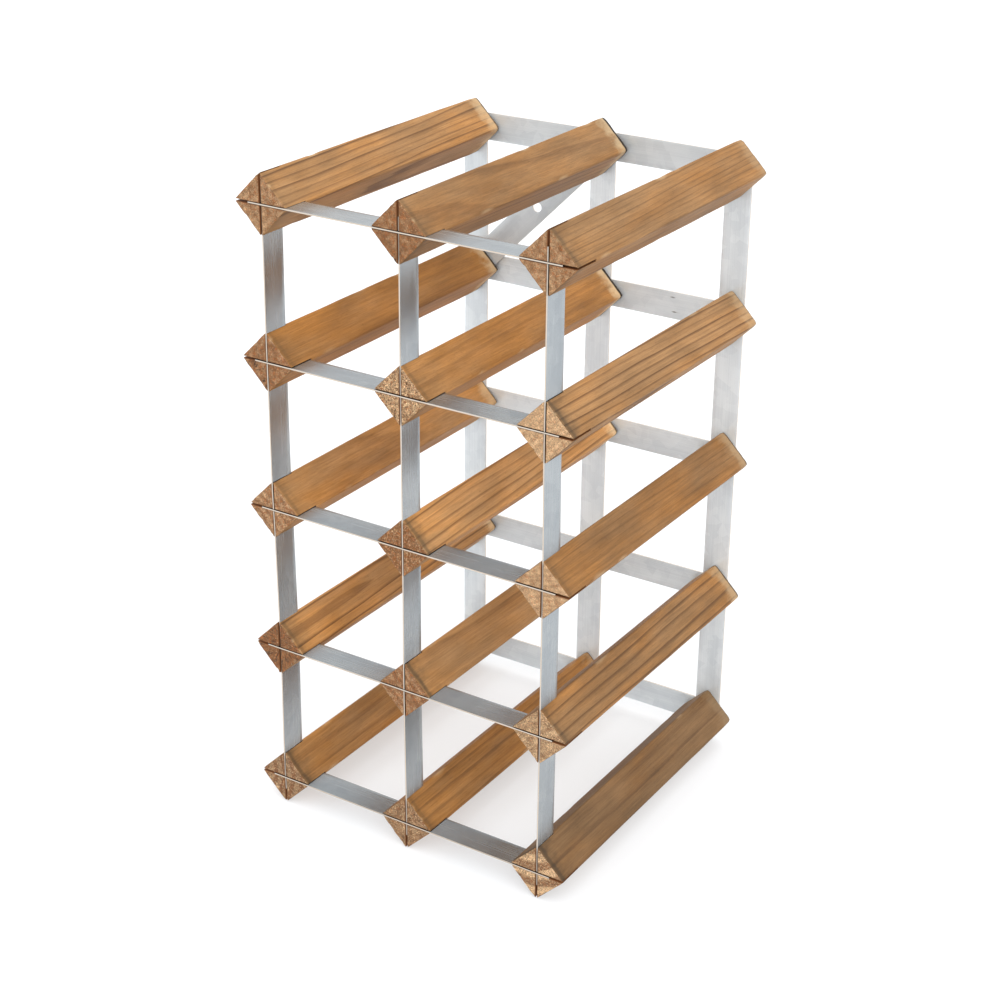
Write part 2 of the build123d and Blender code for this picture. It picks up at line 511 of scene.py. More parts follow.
def side_colour(n, grain, place, late):
    """Stained side grain: rings, fibres, blotches, smudged front ends with a dark stripe just behind them,
    and rear ends made paler, with a dark rim.
    """
    _, y, _ = n.split(place)
    blotch = n.streaked(grain, 0.05, 0.014, 3.0, 0.6)
    warmth = n.plus(n.own("warmth"), n.linear(blotch, 1.5, -0.75))
    early = n.blend(n.span(warmth, 0.0, 1.0), STAIN_PALE, STAIN_WARM)
    colour = n.blend(n.times(late, n.own("contrast")), early, STAIN_DARK)
    for across, along, detail, roughness, swing, least in SIDE_LAYERS:
        layer = n.streaked(grain, across, along, detail, roughness)
        colour = n.brighter(colour, n.linear(layer, swing, least))
    fleck = n.streaked(grain, 4.0, 0.3)
    colour = n.brighter(colour, n.span(fleck, 0.3, 0.42, 0.76, 1.0))
    cloud = n.streaked(grain, 0.16, 0.1, 3.0, 0.6)
    darkening = n.own("front_dirt")
    near_front = end_zone(n, y, cloud, SMUDGED_ZONE)
    colour = n.blend(n.times(near_front, n.linear(darkening, 0.5, 0.1)), colour, FRONT_END_DARK)
    # A ragged dark stripe just behind the front end, as strong as front_dirt.
    stripe = n.hump(n.plus(y, n.times(cloud, -STRIPE_RAGGED)), *STRIPE)
    colour = n.blend(n.times(stripe, darkening, 0.6), colour, FRONT_END_DARK)
    # rear_wear: how much paler the sides are near the rear end, and how wide and dark a rim they have there
    wear = n.own("rear_wear")
    from_rear = n.math("SUBTRACT", BATTEN_LENGTH, y)
    near_rear = end_zone(n, from_rear, cloud, PALE_REAR_ZONE)
    colour = n.blend(n.times(near_rear, n.linear(wear, 0.6, 0.1)), colour, PALE_PINE)
    rim_width = n.plus(n.times(wear, RIM_WIDTH), n.linear(cloud, 1.6, -0.6))
    rim = n.span(n.math("SUBTRACT", from_rear, rim_width), -0.4, 0.3, 1.0, 0.0)
    return n.blend(n.times(rim, n.linear(wear, 0.6, 0.4)), colour, RIM_DARK)


SPECK_STRENGTH = 0.6


def end_colour(n, grain, place, band):
    """Sawn end grain and how torn it is: late wood, smooth and torn areas, pale chips and dark pits."""
    torn = n.span(n.noise(place, 1.2, 4.0, 0.75), 0.34, 0.66)
    fine = n.span(n.noise(place, 2.6, 2.0, 0.6), 0.3, 0.7)
    rough = n.own("end_rough")
    chip = n.span(n.linear(rough, 0.04, n.noise(place, 1.6, 2.0, 0.7)), 0.61, 0.7)
    pit = n.span(n.linear(rough, -0.03, n.noise(place, 1.4, 3.0, 0.7)), 0.33, 0.41, 1.0, 0.0)
    light = n.plus(n.own("end_light"), n.linear(n.noise(place, 0.24, 3.0, 0.6), 1.7, -0.85))
    orange = n.own("end_orange")
    brown = n.blend(orange, END_GREY, END_BROWN)
    colour = n.blend(n.span(light, -0.1, 1.1), brown, END_PALE)
    rings = n.times(band, n.own("end_rings"), n.linear(torn, 0.4, 0.55))
    colour = n.blend(rings, colour, END_LATE)
    orange_area = n.span(n.noise(place, 0.45, 3.0, 0.7), 0.5, 0.66)
    colour = n.blend(n.times(orange_area, orange, 0.8), colour, END_ORANGE)
    colour = n.blend(n.times(heart_rays(n, grain), 0.95), colour, END_PIT)
    colour = n.blend(n.times(chip, rough, SPECK_STRENGTH), colour, END_CHIP)
    colour = n.blend(n.times(pit, rough, SPECK_STRENGTH), colour, END_PIT)
    swing = n.linear(rough, 0.35, 0.35)
    colour = n.brighter(colour, n.linear(n.math("SUBTRACT", torn, 0.5), swing, 1.0))
    return n.brighter(colour, n.linear(fine, 0.5, 0.79)), torn


PINE_BUMP = 0.16  # millimetres
END_BUMP = 2.5  # times as strong


def stained_pine():
    """Stained pine with side grain along the batten and end grain on its sawn ends."""
    n = Nodes("stained_pine")
    grain = n.vector("grain_place")
    place = n.vector("batten_place")
    late, band = growth_rings(n, grain)
    # the sides' tone: stain tone, partly painted light
    side = n.brighter(side_colour(n, grain, place, late), n.own("tone"))
    end, torn = end_colour(n, grain, place, band)
    facing = n.add("ShaderNodeNewGeometry").outputs["True Normal"]
    end_on = n.span(n.math("ABSOLUTE", n.split(facing)[1]), 0.55, 0.8)
    colour = n.blend(end_on, side, end)
    colour = n.blend(n.times(n.value("bare"), 0.3), colour, PALE_PINE)
    # painted shade inside the kerfs
    colour = n.blend(n.value("kerf"), colour, KERF_SHADE_COLOUR)
    fibre = n.streaked(grain, 2.4, 0.06, 3.0, 0.6)
    side_relief = n.plus(n.times(late, 0.35), n.times(fibre, 0.65))
    side_on = n.math("SUBTRACT", 1.0, end_on)
    relief = n.plus(n.times(side_relief, side_on), n.times(torn, end_on, END_BUMP))
    roughness = n.linear(fibre, 0.25, 0.5)
    return n.finish(colour, roughness, relief, PINE_BUMP, Specular_IOR_Level=0.3)


# ---- Zinc ----
ZINC_PALE = tint(198, 204, 207)
ZINC_DEEP = tint(176, 183, 188)
ZINC_CUT = tint(211, 197, 181)
SCUFF = tint(120, 118, 112)
# Painted shade: WALL_SHADE_LIGHT and WALL_SHADE_DEEP darken, in blotches, the side that faces the wall.
WALL_SHADE_LIGHT = tint(236, 234, 230)  # these two darken the side that faces the wall
WALL_SHADE_DEEP = tint(212, 210, 204)
# painted shade where the front strips sit in the kerfs, and grime in the scratches on a rear strip
SHADE_AND_GRIME_COLOUR = tint(48, 36, 28)
ZINC_BUMP = 0.012  # millimetres


def zinc(name, roughness, metallic):
    """Galvanised steel: spangle, lines drawn along the strip, dull patches, bright sheared edges and painted
    light and shade.
    """
    n = Nodes(name)
    place = n.vector("strip_place")
    spangle = n.split(n.cells(n.scaled(place, 1.0, 1.0, 0.2), 0.16))[0]
    drift = n.noise(n.scaled(place, 0.012, 0.05, 0.05), 1.0, 3.0, 0.6)
    drawn = n.noise(n.scaled(place, 0.015, 1.6, 1.6), 1.0, 3.0, 0.6)
    grit = n.noise(n.scaled(place, 1.2, 2.5, 2.5))
    mixed = n.plus(n.times(drift, 0.6), n.plus(n.times(drawn, 0.3), n.times(spangle, 0.1)))
    colour = n.blend(n.span(mixed, 0.3, 0.7), ZINC_DEEP, ZINC_PALE)
    colour = n.blend(n.times(n.span(grit, 0.66, 0.78), 0.25), colour, SCUFF)
    # each piece's tone, which on the strips is painted light and shade
    colour = n.brighter(colour, n.own("tone"))
    # painted shade, in blotches, on the face turned to the wall
    wall_blotches = n.noise(n.scaled(place, 0.07, 0.11, 0.11), 1.0, 4.0, 0.7)
    wall_shade = n.blend(n.span(wall_blotches, 0.4, 0.62), WALL_SHADE_DEEP, WALL_SHADE_LIGHT)
    colour = n.blend(n.value("wall_side"), colour, n.blend(1.0, colour, wall_shade, "MULTIPLY"))
    colour = n.blend(n.value("cut_edge"), colour, ZINC_CUT)
    # painted shade in the kerfs, and grime in scratches
    colour = n.blend(n.value("shade_and_grime"), colour, SHADE_AND_GRIME_COLOUR)
    sheen = n.plus(roughness - 0.1, n.plus(n.times(drift, 0.12), n.times(drawn, 0.1)))
    relief = n.plus(n.times(drawn, 0.7), n.times(grit, 0.3))
    return n.finish(colour, sheen, relief, ZINC_BUMP, Metallic=metallic)


# ---- Battens ----
CELLS = 24  # along a quadrant's kerf wall
ARC_CELLS = 4  # round each long edge
RINGS = 8  # between the nail hole and the outline of the rear end
SAWN_STATIONS = (0, 0.25, 0.6, 1.2, 2.2, 4, 6.5, 9.5, 12.5, 16, KERF_DEPTH)  # from the front end
REAR_STATIONS = (3.5, 2, 1.1, 0.55, 0.25, 0)  # from the rear end
LAST_EVEN_STATION = 6.0  # from the rear end
BATTEN_STEP = 3.2


def turned(points, quarter):
    """Points turned about the batten's axis by quarter turns."""
    for _ in range(quarter):
        points = points_at(-points[..., 2], points[..., 1], points[..., 0])
    return points


def at_stations(line, depths):
    """A line of points repeated at each depth along the batten, as a grid."""
    grid = np.repeat(np.asarray(line, float)[:, None, :], len(depths), axis=1)
    grid[..., 1] = depths
    return grid


def batten_form():
    """A batten about its own axis, front end at Y = 0: kerfs along both diagonals and a nail hole."""
    half_kerf = KERF_WIDTH / 2
    radius = BATTEN_EDGE_RADIUS
    arc_centre = (BATTEN_SIDE / 2 - radius) * math.sqrt(2)
    arc_half = math.asin(half_kerf / radius)
    tip = arc_centre + radius * math.cos(arc_half)
    leg = np.linspace(half_kerf, tip, CELLS + 1)
    side = points_at(leg[::-1], 0, leg)
    across = points_at(leg, 0, half_kerf)
    up = across[:, ::-1] * [1, 0, 1]
    turn = np.linspace(-arc_half, arc_half, ARC_CELLS + 1)
    arc = points_at(arc_centre + radius * np.cos(turn), 0, radius * np.sin(turn))
    sawn = np.array(SAWN_STATIONS)
    whole = stations((KERF_DEPTH, BATTEN_LENGTH - LAST_EVEN_STATION), BATTEN_STEP)
    whole = np.concatenate([whole, BATTEN_LENGTH - np.array(REAR_STATIONS)])
    corner = [(i, j) for i in range(CELLS + 1) for j in range(CELLS + 1 - i)]
    index = {cell: k for k, cell in enumerate(corner)}
    face = [[leg[i], 0, leg[j]] for i, j in corner]
    cells = [
        [index[i, j], index[i + 1, j], index[i + 1, j + 1], index[i, j + 1]]
        for i, j in corner
        if i + j < CELLS - 1
    ]
    cells += [[index[i, j], index[i + 1, j], index[i, j + 1]] for i, j in corner if i + j == CELLS - 1]
    form = Surface()
    outline = []
    for quarter in range(4):
        form.patch(turned(np.array(face), quarter), cells)
        for line in (side, across, up):
            form.grid(turned(at_stations(line, sawn), quarter))
        floor = np.stack([across, across * [1, 1, -1]], axis=1) + [0, KERF_DEPTH, 0]
        form.grid(turned(floor, quarter))
        form.patch(turned(arc + [0, KERF_DEPTH, 0], quarter), [list(range(ARC_CELLS + 1))])
        outline += [turned(arc, quarter)[:-1], turned(side, quarter)[:-1]]
    walls = (-half_kerf, half_kerf)
    form.grid(np.array([[[a, KERF_DEPTH, b] for a in walls] for b in walls]))
    outline = np.concatenate(outline)
    form.grid(at_stations(outline, whole), closed=True)
    hole = outline / np.linalg.norm(outline, axis=1, keepdims=True) * BATTEN_NAIL_HOLE_RADIUS
    shares = np.linspace(0, 1, RINGS + 1)[None, :, None]
    form.grid(outline[:, None] * (1 - shares) + hole[:, None] * shares + [0, BATTEN_LENGTH, 0], closed=True)
    hole_depths = BATTEN_LENGTH - np.array([0, BATTEN_NAIL_HOLE_DEPTH])
    form.grid(at_stations(hole, hole_depths), closed=True)
    form.patch(hole + [0, hole_depths[-1], 0], [list(range(len(hole)))])
    return form.mesh("batten_form")


SKIN = 0.01  # a point less deep than this, in millimetres, is on the surface


def outward(points):
    """The way out of the batten's square section at each point, and how deep under its surface it is."""
    diagonal = math.sqrt(0.5)
    a = (points[:, 0] + points[:, 2]) * diagonal
    b = (points[:, 2] - points[:, 0]) * diagonal
    flat = BATTEN_SIDE / 2 - BATTEN_EDGE_RADIUS
    over_a, over_b = np.abs(a) - flat, np.abs(b) - flat
    corner = (over_a > 0) & (over_b > 0)
    out_a = np.where(corner, over_a, over_a >= over_b) * np.sign(a)
    out_b = np.where(corner, over_b, over_a < over_b) * np.sign(b)
    length = np.maximum(np.hypot(out_a, out_b), 1e-9)
    out_a, out_b = out_a / length, out_b / length
    reach = np.where(corner, np.hypot(over_a, over_b), np.maximum(over_a, over_b))
    way = points_at((out_a - out_b) * diagonal, 0, (out_a + out_b) * diagonal)
    return way, BATTEN_EDGE_RADIUS - reach


# Ranges are in millimetres.
CHIPS = 16
RIM_CHIPS = 9  # how many of them are on the front rim
RIM_CHIP_PLACE = (-0.2, 0.4)
RIM_CHIP_RADIUS = (0.7, 1.8)
EDGE_CHIP_PLACE = (4, BATTEN_LENGTH)
EDGE_CHIP_RADIUS = (0.8, 2.4)
EDGE_CHIP_STRETCH = np.array([1, 0.3, 1])  # less than 1 makes a chip longer
CHIP_DEPTH = (0.15, 0.5)
DEEP_CHIP = 0.35  # fully bare from here on


def chips(points, rng):
    """How deep each point is chipped: small breaks along the front rim and the long edges."""
    depth = np.zeros(len(points))
    quarter_turns = rng.integers(0, 4, CHIPS)
    for i, quarter in enumerate(quarter_turns):
        at_rim = i < RIM_CHIPS
        along_side = rng.uniform(0, 1) if at_rim else rng.choice([0.0, 1.0])
        y = rng.uniform(*(RIM_CHIP_PLACE if at_rim else EDGE_CHIP_PLACE))
        start = np.array([HALF_DIAGONAL, y, 0])
        end = np.array([0, y, HALF_DIAGONAL])
        centre = turned(start * (1 - along_side) + end * along_side, quarter)
        radius = rng.uniform(*(RIM_CHIP_RADIUS if at_rim else EDGE_CHIP_RADIUS))
        stretch = 1 if at_rim else EDGE_CHIP_STRETCH
        distance = np.linalg.norm((points - centre) * stretch, axis=1)
        bowl = np.clip(1 - (distance / radius) ** 2, 0, 1)
        depth = np.maximum(depth, rng.uniform(*CHIP_DEPTH) * bowl)
    return depth


# Wear as (least depth, how much deeper it can be, size of its patches), in millimetres.
SIDE_WAVE = (0.0, 0.09, (12, 55, 12))
FRONT_RIM_WEAR = (0.08, 0.28, 2.5)
REAR_RIM_WEAR = (0.12, 0.3, 4.0)
LONG_EDGE_WEAR = (0.05, 0.22, (5, 18, 5))
SAW_UNEVENNESS = (0.0, 0.12, 6)
REAR_END_WEAR = (0.0, 0.12, 2)
KERF_RAGGEDNESS = (0.0, 0.14, 1.3)
SAW_MARKS = (0.1, 0.16, 1.1)  # depth, depth added for an end_rough of 1, size
FRONT_RIM_REACH = 0.9
REAR_RIM_REACH = 1.2
LONG_EDGE_REACH = 1.6
REAR_CORNER_REACH = 9


def worn(points, wear, seed):
    """How deep a kind of wear goes at each point."""
    least, swing, size = wear
    return least + swing * soft_noise(points, size, seed)


def weathered(points, seed, end_rough):
    """A batten's points with sawn ends, eased edges, slight waves and chips. They only move inwards."""
    rng = np.random.default_rng(seed)
    way, depth = outward(points)
    on_side = depth < SKIN
    from_front = points[:, 1]
    from_rear = BATTEN_LENGTH - points[:, 1]
    on_front = from_front < TOUCH
    on_rear = from_rear < TOUCH
    chipped = chips(points, rng)
    wave = worn(points, SIDE_WAVE, seed)
    easing = worn(points, FRONT_RIM_WEAR, seed + 1) * (1 - smooth(from_front, 0, FRONT_RIM_REACH))
    easing += worn(points, REAR_RIM_WEAR, seed + 2) * (1 - smooth(from_rear, 0, REAR_RIM_REACH))
    from_axis = np.maximum(np.abs(points[:, 0]), np.abs(points[:, 2]))
    on_long_edge = smooth(from_axis, HALF_DIAGONAL - LONG_EDGE_REACH, HALF_DIAGONAL)
    edge_wear = on_long_edge * worn(points, LONG_EDGE_WEAR, seed + 3)
    edge_wear *= 1 + 2 * (1 - smooth(from_rear, 0, REAR_CORNER_REACH))  # three times as much at the rear
    moved = points - way * (on_side * (wave + easing + edge_wear + chipped))[:, None]
    plain, added, size = SAW_MARKS
    saw_marks = (plain + added * end_rough) * soft_noise(points, size, seed + 4)
    moved[:, 1] += on_front * (saw_marks + worn(points, SAW_UNEVENNESS, seed + 5) + chipped)
    moved[:, 1] -= on_rear * worn(points, REAR_END_WEAR, seed + 6)
    ragged = worn(points, KERF_RAGGEDNESS, seed + 7)
    for axis in (0, 2):
        on_kerf = on_front & (np.abs(np.abs(points[:, axis]) - KERF_WIDTH / 2) < TOUCH)
        moved[:, axis] += on_kerf * ragged * np.sign(points[:, axis])
    return moved, np.clip(chipped / DEEP_CHIP, 0, 1)


# how much of the kerfs' painted shade lies on their front rims
KERF_RIM_SHARE = 0.3


def kerf_shade_share(points):
    """How much painted shade each of a batten's unworn points takes: 1 inside the kerfs, and KERF_RIM_SHARE
    on their front rims.
    """
    on_wall = np.abs(np.abs(points[:, [0, 2]]) - KERF_WIDTH / 2).min(axis=1) < TOUCH
    under_skin = outward(points)[1] > SKIN
    inside = on_wall & under_skin & (points[:, 1] <= KERF_DEPTH + TOUCH)
    return inside * np.where(points[:, 1] < TOUCH, KERF_RIM_SHARE, 1.0)


GRAIN_LEAN = 0.03  # a slope
GRAIN_SHIFT = 7  # both shifts are times the batten's seed
PLACE_SHIFT = 3


def batten(form, material, row, column):
    """One batten, with its own cut of the log and its own wear."""
    timber = Timber(*TIMBER[row, column])
    seed = 100 * row + 10 * COLUMNS.index(column)
    points, bare = weathered(mesh_points(form), seed, timber.end_rough)
    rng = np.random.default_rng(seed + 9)
    lean = rng.uniform(-GRAIN_LEAN, GRAIN_LEAN, 2)
    angle = math.radians(timber.pith_angle)
    heart = timber.pith_distance * np.array([math.cos(angle), math.sin(angle)])
    along = points[:, 1]
    grain_x = points[:, 0] - heart[0] - lean[0] * along
    grain_z = points[:, 2] - heart[1] - lean[1] * along
    grain = points_at(grain_x, along + GRAIN_SHIFT * seed, grain_z)
    mesh = form.copy()
    mesh.name = f"pine_batten_row{row}_{column}"
    set_values(mesh, "grain_place", grain)
    set_values(mesh, "batten_place", points + [0, 0, PLACE_SHIFT * seed])
    set_values(mesh, "bare", bare)
    # painted shade inside the kerfs
    set_values(mesh, "kerf", kerf_shade_share(mesh_points(form)))
    set_points(mesh, points + [AXIS_X[column], FRONT_Y, AXIS_Z[row]])
    piece = show(mesh.name, mesh, material, [batten_node(row, column)])
    for name in Timber._fields[2:]:  # the first two are in grain_place already
        piece[name] = getattr(timber, name)
    return piece


# ---- Strips ----
SOLID, OPEN, HOLE = 1, 0, 2
STRIP_STEP = 3.0
EDGE_EASE = 0.2
HOLE_BLOCK = 3.0  # half the square that a nail hole's ring of faces fills
HOLE_RINGS = 3
# Each strip's brightness stands in for light and shade: painted shade on the front strips, darkest on the
# lowest row and the right upright, and painted light on the rear strips and the brace.
FRONT_CROSS_PAINTED_SHADE = {1: 0.72, 2: 0.82, 3: 0.8, 4: 0.9, 5: 0.92}
FRONT_UPRIGHT_PAINTED_SHADE = {"left": 0.88, "middle": 0.82, "right": 0.72}
REAR_CROSS_PAINTED_LIGHT = {1: 1.35, 2: 1.35, 3: 1.38, 4: 1.3, 5: 1.12}
REAR_UPRIGHT_PAINTED_LIGHT = {"left": 1.36, "middle": 1.5, "right": 1.38}
BRACE_PAINTED_LIGHT = 1.1


def plate(along, across, kind, holes=()):
    """A sheet over a grid of cells. Its points are (along, across, through), through from -1 to 1.

    kind says which cells are solid, open or taken by a hole's ring. Each hole is
    (along, across, radius, half the square that its ring fills).
    """
    sheet = Surface()
    node = np.stack(np.meshgrid(along, across, indexing="ij"), axis=-1)
    padded = np.pad(kind, 1, constant_values=OPEN)
    thick = np.array([-1.0, 0.0, 1.0])

    def wall(a, b):
        ends = np.array([a, b])
        sheet.grid(np.stack([np.column_stack([ends, [t, t]]) for t in thick]))

    for i, j in zip(*np.nonzero(kind == SOLID)):
        square = [node[i, j], node[i + 1, j], node[i + 1, j + 1], node[i, j + 1]]
        for t in (-1.0, 1.0):
            sheet.patch([[*p, t] for p in square], [[0, 1, 2, 3]])
        beside = (padded[i + 1, j], padded[i + 2, j + 1], padded[i + 1, j + 2], padded[i, j + 1])
        for k, neighbour in enumerate(beside):
            if neighbour == OPEN:
                wall(square[k], square[(k + 1) % 4])
    for s, t, radius, half in holes:
        rim = np.array([node[i, j] for i, j in hole_rim(along, across, s, t, half)])
        circle = rim - [s, t]
        circle = circle / np.linalg.norm(circle, axis=1, keepdims=True) * radius + [s, t]
        shares = np.linspace(0, 1, HOLE_RINGS + 1)[None, :, None]
        ring = rim[:, None] * (1 - shares) + circle[:, None] * shares
        for side in (-1.0, 1.0):
            level = np.full(ring.shape[:2] + (1,), side)
            sheet.grid(np.concatenate([ring, level], axis=-1), closed=True)
        tube = np.repeat(circle[:, None], len(thick), axis=1)
        level = np.broadcast_to(thick[None, :, None], tube.shape[:2] + (1,))
        sheet.grid(np.concatenate([tube, level], axis=-1), closed=True)
    return sheet


def hole_rim(along, across, s, t, half):
    """The grid nodes round the square about a hole, in order."""
    i0, i1 = (int(np.argmin(np.abs(along - s - d))) for d in (-half, half))
    j0, j1 = (int(np.argmin(np.abs(across - t - d))) for d in (-half, half))
    rim = [(i, j0) for i in range(i0, i1)] + [(i1, j) for j in range(j0, j1)]
    return rim + [(i, j1) for i in range(i1, i0, -1)] + [(i0, j) for j in range(j1, j0, -1)]


def cell_kinds(along, across, slots=(), holes=()):
    """Which cells of a strip are solid, open in a slot, or taken by a hole's ring."""
    s = (along[:-1] + along[1:])[:, None] / 2
    t = (across[:-1] + across[1:])[None, :] / 2
    kind = np.full((len(along) - 1, len(across) - 1), SOLID)
    for middle, low, high in slots:
        kind[(np.abs(s - middle) < LAP_SLOT / 2) & (t > low) & (t < high)] = OPEN
    for place, level, _, half in holes:
        kind[(np.abs(s - place) < half) & (np.abs(t - level) < half)] = HOLE
    return kind


def strip_piece(node, sheet, place, material, tone, shade_and_grime=None, at_wall=False):
    """Make a flat strip from its sheet, bevel it, bend it into place and show it.

    place turns its own points into the rack's, shade_and_grime says how dark each of them is made, with
    painted shade in the kerfs and grime in scratches, and at_wall whether a face is turned to the wall,
    where it takes painted shade.
    """
    name = f"zinc_{node}"
    mesh = sheet.mesh(node)
    points = mesh_points(mesh)
    points[:, 2] *= STRIP_THICKNESS / 2
    mesh.vertices.foreach_set("co", points.ravel())
    bevel(mesh, EDGE_EASE)
    flat = mesh_points(mesh)
    rng = np.random.default_rng(sum(map(ord, name)))
    set_values(mesh, "strip_place", flat + [rng.uniform(0, 900), 0, 0])
    set_values(mesh, "cut_edge", on_cut_edge(flat))
    set_values(mesh, "wall_side", (flat[:, 2] > STRIP_THICKNESS / 4) * float(at_wall))
    set_values(mesh, "shade_and_grime", shade_and_grime(flat) if shade_and_grime else np.zeros(len(flat)))
    set_points(mesh, place(flat))
    piece = show(name, mesh, material, [node], smooth_angle=25)
    piece["tone"] = tone
    return piece


def on_cut_edge(flat):
    """1 at the points of a flat strip that lie on its sheared edges, 0 on its rolled faces."""
    return (np.abs(flat[:, 2]) < STRIP_THICKNESS / 2 - EDGE_EASE / 2).astype(float)


# Painted shade on the front strips where they sit inside the kerfs.
KERF_SHADE_FADE = 2.5  # from a kerf's mouth inwards
EDGE_STRIPE = 0.4  # the width of the stripe along a front strip's front edge, which takes less painted shade than the rest
BEVEL_SHADE = 0.85  # how much painted shade the stripe's two bevels take


def strip_kerf_shade(flat, seats, edge_shade):
    """Painted shade on a front strip: dark where it is inside the kerfs, apart from its front edge."""
    nearest = np.abs(flat[:, :1] - np.array(seats)).min(axis=1)
    inside = 1 - smooth(nearest, HALF_DIAGONAL - KERF_SHADE_FADE, HALF_DIAGONAL)
    on_bevel = np.abs(flat[:, 2]) > STRIP_THICKNESS / 2 - EDGE_EASE + 0.02
    on_front = np.where(on_bevel, np.maximum(edge_shade, BEVEL_SHADE), edge_shade)
    return inside * np.where(flat[:, 1] < EDGE_STRIPE - 0.05, on_front, 1.0)


def strip_ends(places):
    """Where a strip over these places starts and ends."""
    return [places[0] - STRIP_OVERHANG, places[-1] + STRIP_OVERHANG]


def slotted_sheet(places, seats, low, high):
    """A front strip over these places, slotted at its seats from low to high."""
    edges = [s + d for s in seats for d in (-LAP_SLOT / 2, LAP_SLOT / 2)]
    along = stations([*strip_ends(places), *edges], STRIP_STEP)
    across = stations([0, EDGE_STRIPE, low, high, STRIP_WIDTH], STRIP_STEP)
    return plate(along, across, cell_kinds(along, across, [(s, low, high) for s in seats]))


def front_cross_strip(row, material):
    """An edge-on strip along a row, slotted from its rear edge at each upright."""
    seats = [AXIS_X[column] + float(eased(UPRIGHT_LEAN[column], row)) for column in COLUMNS]
    sheet = slotted_sheet(COLUMN_PLACES, seats, STRIP_WIDTH - LAP_DEPTH, STRIP_WIDTH)

    def place(flat):
        rise = eased(enumerate(CROSS_RISE[row], 1), (flat[:, 0] - COLUMN_PLACES[0]) / COLUMN_PITCH + 1)
        return points_at(flat[:, 0], FRONT_Y + flat[:, 1], AXIS_Z[row] + rise + flat[:, 2])

    def shade_and_grime(flat):
        return strip_kerf_shade(flat, seats, 0.0)

    strip_piece(f"front_cross_strip_row{row}", sheet, place, material, FRONT_CROSS_PAINTED_SHADE[row], shade_and_grime)


def front_upright(column, material):
    """An edge-on strip up a column, slotted from its front edge at each cross strip."""
    number = COLUMNS.index(column) + 1
    seats = [AXIS_Z[row] + float(eased(enumerate(CROSS_RISE[row], 1), number)) for row in ROWS]
    sheet = slotted_sheet(ROW_PLACES, seats, 0, LAP_DEPTH)

    def row_at(flat):
        return (flat[:, 0] - AXIS_Z[1]) / ROW_PITCH + 1

    def place(flat):
        row = row_at(flat)
        x = AXIS_X[column] + eased(UPRIGHT_LEAN[column], row) + flat[:, 2]
        y = FRONT_Y + eased(enumerate(UPRIGHT_RECESS[column], 1), row) + flat[:, 1]
        return points_at(x, y, flat[:, 0])

    def shade_and_grime(flat):
        """The deeper the front edge is sunk in its kerf, the more painted shade it takes."""
        recess = eased(enumerate(UPRIGHT_RECESS[column], 1), row_at(flat))
        return strip_kerf_shade(flat, seats, np.clip(recess, 0, 1))

    strip_piece(f"front_upright_{column}", sheet, place, material, FRONT_UPRIGHT_PAINTED_SHADE[column], shade_and_grime)


def braced(column, row):
    """Whether an end of the brace lies on this batten."""
    return (column, row) in (BRACE_LOWER, BRACE_UPPER)


def rear_stand_off(places, levels, braced_side):
    """(place, millimetres) pairs for how far a rear strip stands off the battens' ends along its length."""
    pairs = []
    for place, level in zip(places, levels):
        raised = level > min(levels)
        before = BRACE_REACH if raised and braced_side < 0 else HALF_DIAGONAL
        after = BRACE_REACH if raised and braced_side > 0 else HALF_DIAGONAL
        pairs += [(place - before, level * STRIP_THICKNESS), (place + after, level * STRIP_THICKNESS)]
    return pairs


MARK_HALF_LENGTH = 2.2
MARK_HALF_WIDTH = 0.6
MARK_DEPTH = 0.3
MARK_GRIME = 0.75
MARKS = ((54.0, 14.2), (55.5, 4.6))  # (X, millimetres from the lower edge)
MARKED_ROW = 4


def offsets(reach, step):
    """Even steps from -reach to reach, with the last one taken in."""
    return np.arange(-reach, reach + 0.1, step)


def with_places(places, extra):
    """Places with extra ones among them, in order and each only once."""
    return np.unique(np.round(np.concatenate([places, *extra]), 4))


def rear_sheet(places, more_holes=(), marks=()):
    """A flat strip with nail holes at these places. marks need closer points round them."""
    middle = STRIP_WIDTH / 2
    holes = [(place, middle, STRIP_NAIL_HOLE_RADIUS, HOLE_BLOCK) for place in places]
    holes += more_holes
    s_fixed = strip_ends(places) + [place + d for place, _, _, half in holes for d in (-half, half)]
    t_fixed = [0, STRIP_WIDTH] + [level + d for _, level, _, half in holes for d in (-half, half)]
    for s, t in marks:
        s_fixed += list(s + offsets(MARK_HALF_LENGTH, 0.5))
        t_fixed += list(t + offsets(1.0, 0.25))
    largest = max(half for _, _, _, half in holes)
    fine = largest / 2
    beside_holes = [place + offsets(half, fine) for place, _, _, half in holes]
    along = with_places(stations(s_fixed, STRIP_STEP), beside_holes)
    across = with_places(stations(t_fixed, STRIP_STEP), [middle + offsets(largest, fine)])
    return plate(along, across, cell_kinds(along, across, holes=holes), holes)


def dented(flat, marks):
    """How deep a point on a strip's front face is pressed in by short scratches."""
    depth = np.zeros(len(flat))
    for s, t in marks:
        oval = ((flat[:, 0] - s) / MARK_HALF_LENGTH) ** 2 + ((flat[:, 1] - t) / MARK_HALF_WIDTH) ** 2
        depth += MARK_DEPTH * np.clip(1 - oval, 0, 1) * (flat[:, 2] < 0)
    return depth


